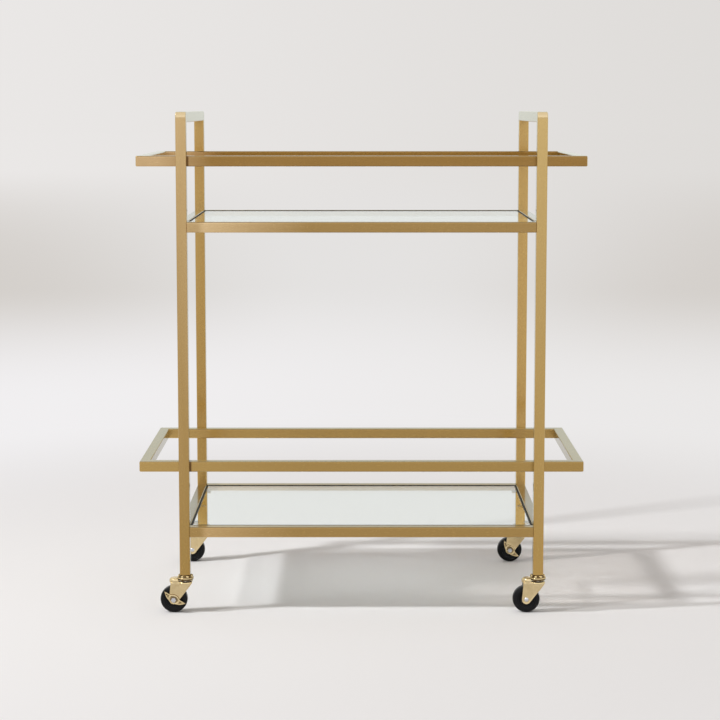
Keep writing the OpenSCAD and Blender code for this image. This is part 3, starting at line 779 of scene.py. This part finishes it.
cap_ring, cap_shade = cap_points()
caps = solid(
    "swivel_caps",
    [closed_grid(at_caster(cap_ring, corner)) for corner in CORNERS],
    bright_brass,
    crease=50,
    painted_shade=np.tile(cap_shade.ravel(), len(CORNERS)),
)
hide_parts("caster_caps")
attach(caps, "frame")
for name in ("leg_sockets", "caster_stems", "caster_balls"):
    finish_node(name, zinc_steel)


# The fork is one pressing of bright brass plated sheet. Its crown is round in front and
# runs down into two cheeks, which taper to the axle; behind, it is drawn up into a horn.
TRAIL, AXLE_Z = 21.0, 25.0
CHEEK_R, CHEEK_Y = 8.3, 11.0
CHEEK_RELIEF, CHEEK_BORDER, RELIEF_TOP, RELIEF_SOFT = 0.4, 2.0, 54.0, 0.5
CROWN_Z, CROWN_BEND = 58.0, 2.6
CROWN_R, CROWN_LEAST = 15.4, 2.0
SWELL_DROP, SWELL_POWER, BEHIND_POWER = 24.0, 1.5, 0.6
CHEEK_FRONT, CHEEK_BACK = 14.6, -26.3
FORK_SHEET = 1.5
END_ROWS, END_SHARE, END_STEP = 16, 0.98, 0.4
CHEEK_ROWS, SHEET_COLUMNS = 48, 111
BEND_ANGLES, BEND_TAPER, CROWN_SHARES = (15, 90, 6), 4.0, (0.08, 1, 9)
HORN_R, HORN_BACK, HORN_TOP, HORN_EDGE = 11.4, 18.0, 64.4, 4.6
HORN_FOOT, HORN_FOOT_IN, HORN_FOOT_UP, HORN_FLAT = 2.0, 0.4, 0.5, 3.0
HORN_STEPS, CAP_ROOM = 96, 0.6
CREASE_X, CREASE_WIDTH = -9.5, 0.45


def tangent_angle(corner_x, corner_z, side):
    """Direction of the normal of the straight edge that runs from a corner to the round end."""
    dx, dz = corner_x + TRAIL, corner_z - AXLE_Z
    return math.atan2(dz, dx) + side * math.acos(CHEEK_R / math.hypot(dx, dz))


def edge_at(z, corner_x, side):
    """X of a cheek's edge at each height: the straight edge, and below it the round end."""
    turn = tangent_angle(corner_x, CROWN_Z, side)
    straight = (CHEEK_R - (z - AXLE_Z) * math.sin(turn)) / math.cos(turn) - TRAIL
    touch = AXLE_Z + CHEEK_R * math.sin(turn)
    half = np.sqrt(np.clip(CHEEK_R**2 - (z - AXLE_Z) ** 2, 0, None))
    return np.where(z > touch, straight, -side * half - TRAIL)


def edge_distance(x, z):
    """How far a point lies inside a cheek's outline: from the nearer straight edge, or in the
    round end from its circle."""
    out_x, out_z = x + TRAIL, z - AXLE_Z
    back = tangent_angle(CHEEK_BACK, CROWN_Z, 1)
    front = tangent_angle(CHEEK_FRONT, CROWN_Z, -1)
    lines = [CHEEK_R - out_x * math.cos(t) - out_z * math.sin(t) for t in (back, front)]
    middle, half = (back + front) / 2 + math.pi, math.pi - (back - front) / 2
    in_end = np.cos(np.arctan2(out_z, out_x) - middle) > math.cos(half)
    return np.where(in_end, CHEEK_R - np.hypot(out_x, out_z), np.minimum(*lines))


def cheek_width(x, z):
    """How far a cheek stands from the middle plane: CHEEK_Y in its border and a little less
    inside it. Beyond the crease it swells towards the crown's circle, and this narrows away
    towards the wheel."""
    fall = np.clip((CROWN_Z - CROWN_BEND - z) / SWELL_DROP, 0, 1)
    inside = soft_step(edge_distance(x, z) - CHEEK_BORDER, -RELIEF_SOFT, RELIEF_SOFT)
    flat = CHEEK_Y - CHEEK_RELIEF * inside * soft_step(RELIEF_TOP - z, -RELIEF_SOFT, RELIEF_SOFT)
    circle = np.sqrt(np.clip(CROWN_R**2 - x**2, CROWN_LEAST**2, None))
    swell = np.clip(circle - CHEEK_Y, 0, None) * (1 - fall) ** SWELL_POWER
    beyond = 1 / (1 + np.exp((CREASE_X - x) / CREASE_WIDTH))
    behind = np.clip(CHEEK_Y - circle, 0, None) * (1 - fall) ** BEHIND_POWER * (x > 0)
    return flat + swell * beyond - behind


def fork_sheet_points():
    """Half of the pressing as a grid: rows climb the cheek, turn over the bend and cross the
    crown to the middle plane; columns run from the back edge to the front edge."""
    low, high = AXLE_Z - CHEEK_R, AXLE_Z + CHEEK_R
    lift = 1 - np.cos(np.linspace(0, math.pi / 2, END_ROWS))
    above_end = np.linspace(high + END_STEP, CROWN_Z - CROWN_BEND, CHEEK_ROWS)
    heights = np.concatenate([low + 2 * CHEEK_R * lift * END_SHARE, above_end])
    across = np.linspace(0, 1, SHEET_COLUMNS)
    back, front = edge_at(heights, CHEEK_BACK, 1), edge_at(heights, CHEEK_FRONT, -1)
    x = back[:, None] + across * (front - back)[:, None]
    z = np.broadcast_to(heights[:, None], x.shape)
    y = -cheek_width(x, z)
    bend = np.radians(np.linspace(*BEND_ANGLES))[:, None]
    top_x = x[-1]
    bend_y = y[-1] + CROWN_BEND * (1 - np.cos(bend)) * np.minimum(1, -y[-1] / BEND_TAPER)
    bend_z = CROWN_Z - CROWN_BEND * (1 - np.sin(bend)) + 0 * top_x
    inwards = np.linspace(*CROWN_SHARES)[:, None]
    crown_y = bend_y[-1] * (1 - inwards)
    top_rows = len(bend) + len(inwards)
    grid_x = np.concatenate([x, np.broadcast_to(top_x, (top_rows, len(top_x)))])
    grid_y = np.concatenate([y, bend_y, crown_y])
    grid_z = np.concatenate([z, bend_z, np.full(crown_y.shape, CROWN_Z)])
    return np.stack([grid_x, grid_y, grid_z], axis=-1)


def thick_sheet(outer, depth):
    """A closed sheet from the grid of its outer face: the inner face lies depth behind it, square
    to the surface, and a strip round the rim joins the two."""
    along, over = np.gradient(outer, axis=0), np.gradient(outer, axis=1)
    square = np.cross(over, along)
    square /= np.maximum(np.linalg.norm(square, axis=-1, keepdims=True), 1e-9)
    inner = outer - depth * square
    rows, columns = outer.shape[:2]
    count = rows * columns
    index = np.arange(count).reshape(rows, columns)
    rim = np.concatenate([index[0, :-1], index[:-1, -1], index[-1, :0:-1], index[:0:-1, 0]])
    after = np.roll(rim, -1)
    faces = quads(rows, columns)
    strip = np.stack([rim, after, after + count, rim + count], axis=-1)
    points = np.concatenate([outer.reshape(-1, 3), inner.reshape(-1, 3)])
    return points, np.concatenate([faces, faces[:, ::-1] + count, strip]).tolist()


def fork_parts():
    """The pressing from its half and the half mirrored, and the horn, a turned solid that is
    pushed out to leave room round the cap."""
    half = fork_sheet_points()
    other = half * (1, -1, 1)
    whole = np.concatenate([half, other[-2::-1]])
    pressing = thick_sheet(whole, FORK_SHEET)
    foot = CROWN_Z - HORN_FOOT
    horn = [(0, foot), (HORN_R - HORN_FOOT_IN, foot), (HORN_R, foot + HORN_FOOT_UP)]
    horn += arc((HORN_R - HORN_EDGE, HORN_TOP - HORN_EDGE), HORN_EDGE, 0, 90, 14)
    horn += [(HORN_R - HORN_EDGE - HORN_FLAT, HORN_TOP), (0, HORN_TOP)]
    points = turned(horn, HORN_STEPS) - (HORN_BACK, 0, 0)
    swivel = np.hypot(points[..., 0], points[..., 1])
    reach = CAP_R + CAP_ROOM
    beside_cap = (swivel < reach) & (points[..., 2] > CROWN_Z)
    scale = np.where(beside_cap, reach / np.maximum(swivel, 1e-6), 1)
    points[..., :2] *= scale[..., None]
    return pressing, closed_grid(points)


fork_solids = fork_parts()
for corner in CORNERS:
    parts = [(at_caster(points, corner), faces) for points, faces in fork_solids]
    fork = solid(f"{corner}_pressed_fork", parts, bright_brass, crease=40)
    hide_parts(f"{corner}_fork")
    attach(fork, f"{corner}_swivel")


# The wheels are 50 mm across: a black nylon core turns on a steel bush and carries a tyre
# of hard black rubber with a slightly crowned tread and a ring moulded on its sides.
TYRE_R, TREAD_HALF, TREAD_FALL = 25.0, 4.5, 0.35
SHOULDER_R, SHOULDER_IN = 4.0, 4.35
TYRE_RING = [(18.9, 8.35), (18.6, 8.5), (17.2, 8.5), (16.9, 8.3)]
TYRE_LIP = [(16.6, 7.9), (15.8, 7.8), (15.55, 7.6)]
CORE_RIM = [(15.5, 6.8), (15.3, 7.0), (13.1, 7.0), (12.7, 6.7)]
CORE_WEB = [(12.3, 5.3), (11.6, 5.0), (8.6, 5.0), (8.0, 5.4)]
CORE_HUB = [(7.3, 8.95), (6.9, 9.35), (4.3, 9.35), (4.1, 9.05)]
TYRE_STEPS, CORE_STEPS = 144, 96
TYRE_LIGHT, TYRE_DEEP, TYRE_POLISH = (18, 18, 20), (9, 9, 11), (0.22, 0.42)
CORE_LIGHT, CORE_DEEP, CORE_POLISH = (20, 20, 22), (11, 11, 13), (0.3, 0.5)
BLACK_SHINE, BLACK_GRAIN, BLACK_BUMP, BLACK_DEPTH = 0.2, 700, 0.15, 0.0001


def moulded_black(name, light, deep, roughness):
    """Moulded black plastic or rubber: near black in two tones, with a fine leathery bump."""
    material, node, link, output = new_material(name)
    where, _ = object_place(node, link)
    leather = noise(node, link, where, BLACK_GRAIN, detail=4)
    inputs = {
        "Base Color": blend(node, link, leather, srgb(*light), srgb(*deep)),
        "Specular IOR Level": BLACK_SHINE,
        "Roughness": spread(node, link, leather, *roughness),
        "Normal": bumped(node, link, leather, BLACK_BUMP, BLACK_DEPTH),
    }
    principled(node, link, output, inputs)
    return material


tyre_black = moulded_black("tyre_rubber", TYRE_LIGHT, TYRE_DEEP, TYRE_POLISH)
core_black = moulded_black("core_nylon", CORE_LIGHT, CORE_DEEP, CORE_POLISH)


def mirrored_profile(half):
    """A closed profile from the half that runs, at positive heights, from its outside in."""
    return half + [(r, -h) for r, h in half[::-1]]


def tyre_profile():
    """From the crowned tread over the round shoulder, down the side past a raised ring to the
    lip that holds the core."""
    heights = np.linspace(0, TREAD_HALF, 6)[1:]
    tread = [(TYRE_R - TREAD_FALL * (h / TREAD_HALF) ** 2, h) for h in heights]
    shoulder = arc((TYRE_R - SHOULDER_IN, SHOULDER_IN), SHOULDER_R, 12, 78, 9)
    return mirrored_profile(tread + shoulder + TYRE_RING + TYRE_LIP)


def on_axle(points):
    """A solid turned round Z, laid along the axle: its +Z end points to the cart's front."""
    points = np.asarray(points)
    return np.stack([points[..., 0] - TRAIL, -points[..., 2], points[..., 1] + AXLE_Z], axis=-1)


core_profile = mirrored_profile(CORE_RIM + CORE_WEB + CORE_HUB)
tyre_grid = on_axle(turned(tyre_profile(), TYRE_STEPS))
core_grid = on_axle(turned(core_profile, CORE_STEPS))
for corner in CORNERS:
    tyre_part = closed_grid(at_caster(tyre_grid, corner))
    core_part = closed_grid(at_caster(core_grid, corner))
    tyre = solid(f"{corner}_rubber_tyre", [tyre_part], tyre_black, crease=40)
    core = solid(f"{corner}_wheel_core", [core_part], core_black, crease=40)
    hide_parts(f"{corner}_tyre")
    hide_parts(f"{corner}_core")
    for piece in (tyre, core):
        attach(piece, f"{corner}_wheel")
    finish_node(f"{corner}_bush", zinc_steel)
    finish_node(f"{corner}_axle", zinc_steel)


# Two wheels have a side brake: an eye shaped lever pressed from sheet, with a raised rim
# round its dish, a small hole in its back ear, and a steel nut that holds it on the axle.
LEVER_HALF, LEVER_COLUMNS, LEVER_ROWS = 22.5, 121, 41
LEVER_LOW, LEVER_TIP, LEVER_TOP, EYE_R = 6.3, 5.7, 9.3, 13.0
EAR_FALL, EYE_SHARPNESS = 0.02, 2.0
EYE_LENGTH, EYE_MIDDLE = 1.25, 0.8
LEVER_Y, LEVER_BACK = 11.15, 11.18
LEVER_SHEET, LEVER_SPARE = 1.2, 0.05
RING_R, RING_WIDTH, RING_INSIDE = 7.4, 1.3, 0.2
BORDER_IN, BORDER_WIDTH, BORDER_SHARE = 1.2, 0.9, 0.9
BORDER_END, BORDER_FADE = 19.0, 4.0
DISH_R, DISH_DEPTH = 4.6, 0.5
HOLE_X, HOLE_Y, HOLE_R, HOLE_DEPTH, HOLE_EDGE = -16.4, 2.5, 1.2, 0.8, 0.12
CURL, CURL_START, CURL_SPAN = 1.8, 18.5, 4.0
BEND, BEND_START, BEND_SPAN = 0.8, 15.5, 7.0
# Painted shade on the lever: its strength in the hollows, where it stops on the raised rim, its
# fade towards the tips, and its reach round the hole.
LEVER_SHADE, SHADE_OFF_RAISED, SHADE_END_FADE = 0.75, (0.15, 0.7), 6.0
HOLE_SHADE_REACH, HOLE_FADE = 0.3, 0.5
SLOPES = {"front_left": 31.0, "back_right": 47.0}


def lever_points():
    """The lever's face as a grid over its leaf shape: columns run along it from tip to tip, rows
    from the long lower arc to the upper outline, with the rim, dish and ears as its height.
    Painted shade darkens the plating in the hollows and in the small hole."""
    rise = LEVER_LOW + LEVER_TIP
    sweep = (LEVER_HALF**2 + rise**2) / (2 * rise)
    x = LEVER_HALF * np.sin(np.linspace(-math.pi / 2, math.pi / 2, LEVER_COLUMNS))
    low = sweep - LEVER_LOW - np.sqrt(sweep**2 - x**2)
    eye = LEVER_TOP - EYE_R + np.sqrt(np.clip(EYE_R**2 - x**2, 0, None))
    ear = LEVER_TIP - EAR_FALL * np.abs(x)
    high = np.log(np.exp((eye - ear) * EYE_SHARPNESS) + 1) / EYE_SHARPNESS + ear
    high = np.maximum(np.where(np.abs(x) < EYE_R, high, ear), low)
    up = np.linspace(0, 1, LEVER_ROWS)[:, None]
    y = low + up * (high - low)
    grid_x = np.broadcast_to(x, y.shape)
    inside = np.minimum(y - low, high - y)
    middle = np.hypot(grid_x / EYE_LENGTH, y - EYE_MIDDLE)
    ring = np.exp(-(((middle - RING_R) / RING_WIDTH) ** 2))
    border = np.exp(-(((inside - BORDER_IN) / BORDER_WIDTH) ** 2))
    border *= np.clip((BORDER_END - np.abs(grid_x)) / BORDER_FADE, 0, 1)
    raised = np.maximum(ring * (inside > RING_INSIDE), border * BORDER_SHARE)
    height = LEVER_SHEET + raised
    height -= DISH_DEPTH * np.exp(-((middle / DISH_R) ** 4))
    hole = np.hypot(grid_x - HOLE_X, y - HOLE_Y)
    height -= HOLE_DEPTH / (1 + np.exp((hole - HOLE_R) / HOLE_EDGE))
    curl = np.clip((-grid_x - CURL_START) / CURL_SPAN, 0, 1)
    bent = np.clip((grid_x - BEND_START) / BEND_SPAN, 0, 1)
    height += CURL * curl**2 - BEND * bent**2
    # Painted shade in the hollows and in the hole.
    hollow = 1 - soft_step(raised, *SHADE_OFF_RAISED)
    lever_shade = LEVER_SHADE * hollow * soft_step(BORDER_END - np.abs(grid_x), 0, SHADE_END_FADE)
    lever_shade = np.maximum(lever_shade, soft_step(HOLE_R + HOLE_SHADE_REACH - hole, 0, HOLE_FADE))
    return np.stack([grid_x, y, height], axis=-1), lever_shade


def lever_parts(slope):
    """The lever on the axle, turned down to the right by its slope. Its back is ground flat, so
    that it clears the fork."""
    face, lever_shade = lever_points()
    turn = math.radians(-slope)
    x = face[..., 0] * math.cos(turn) - face[..., 1] * math.sin(turn)
    y = face[..., 0] * math.sin(turn) + face[..., 1] * math.cos(turn)
    placed = np.stack([x - TRAIL, -(LEVER_Y + face[..., 2]), y + AXLE_Z], axis=-1)
    points, faces = thick_sheet(placed, LEVER_SHEET - LEVER_SPARE)
    points[:, 1] = np.minimum(points[:, 1], -LEVER_BACK)
    return points, faces, np.tile(lever_shade.ravel(), 2)


for corner, slope in SLOPES.items():
    points, faces, lever_shade = lever_parts(slope)
    part = (at_caster(points, corner), faces)
    lever = solid(f"{corner}_brake_lever", [part], bright_brass, crease=40, painted_shade=lever_shade)
    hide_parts(f"{corner}_brake")
    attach(lever, f"{corner}_brake_lever")
    finish_node(f"{corner}_brake_nut", zinc_steel)
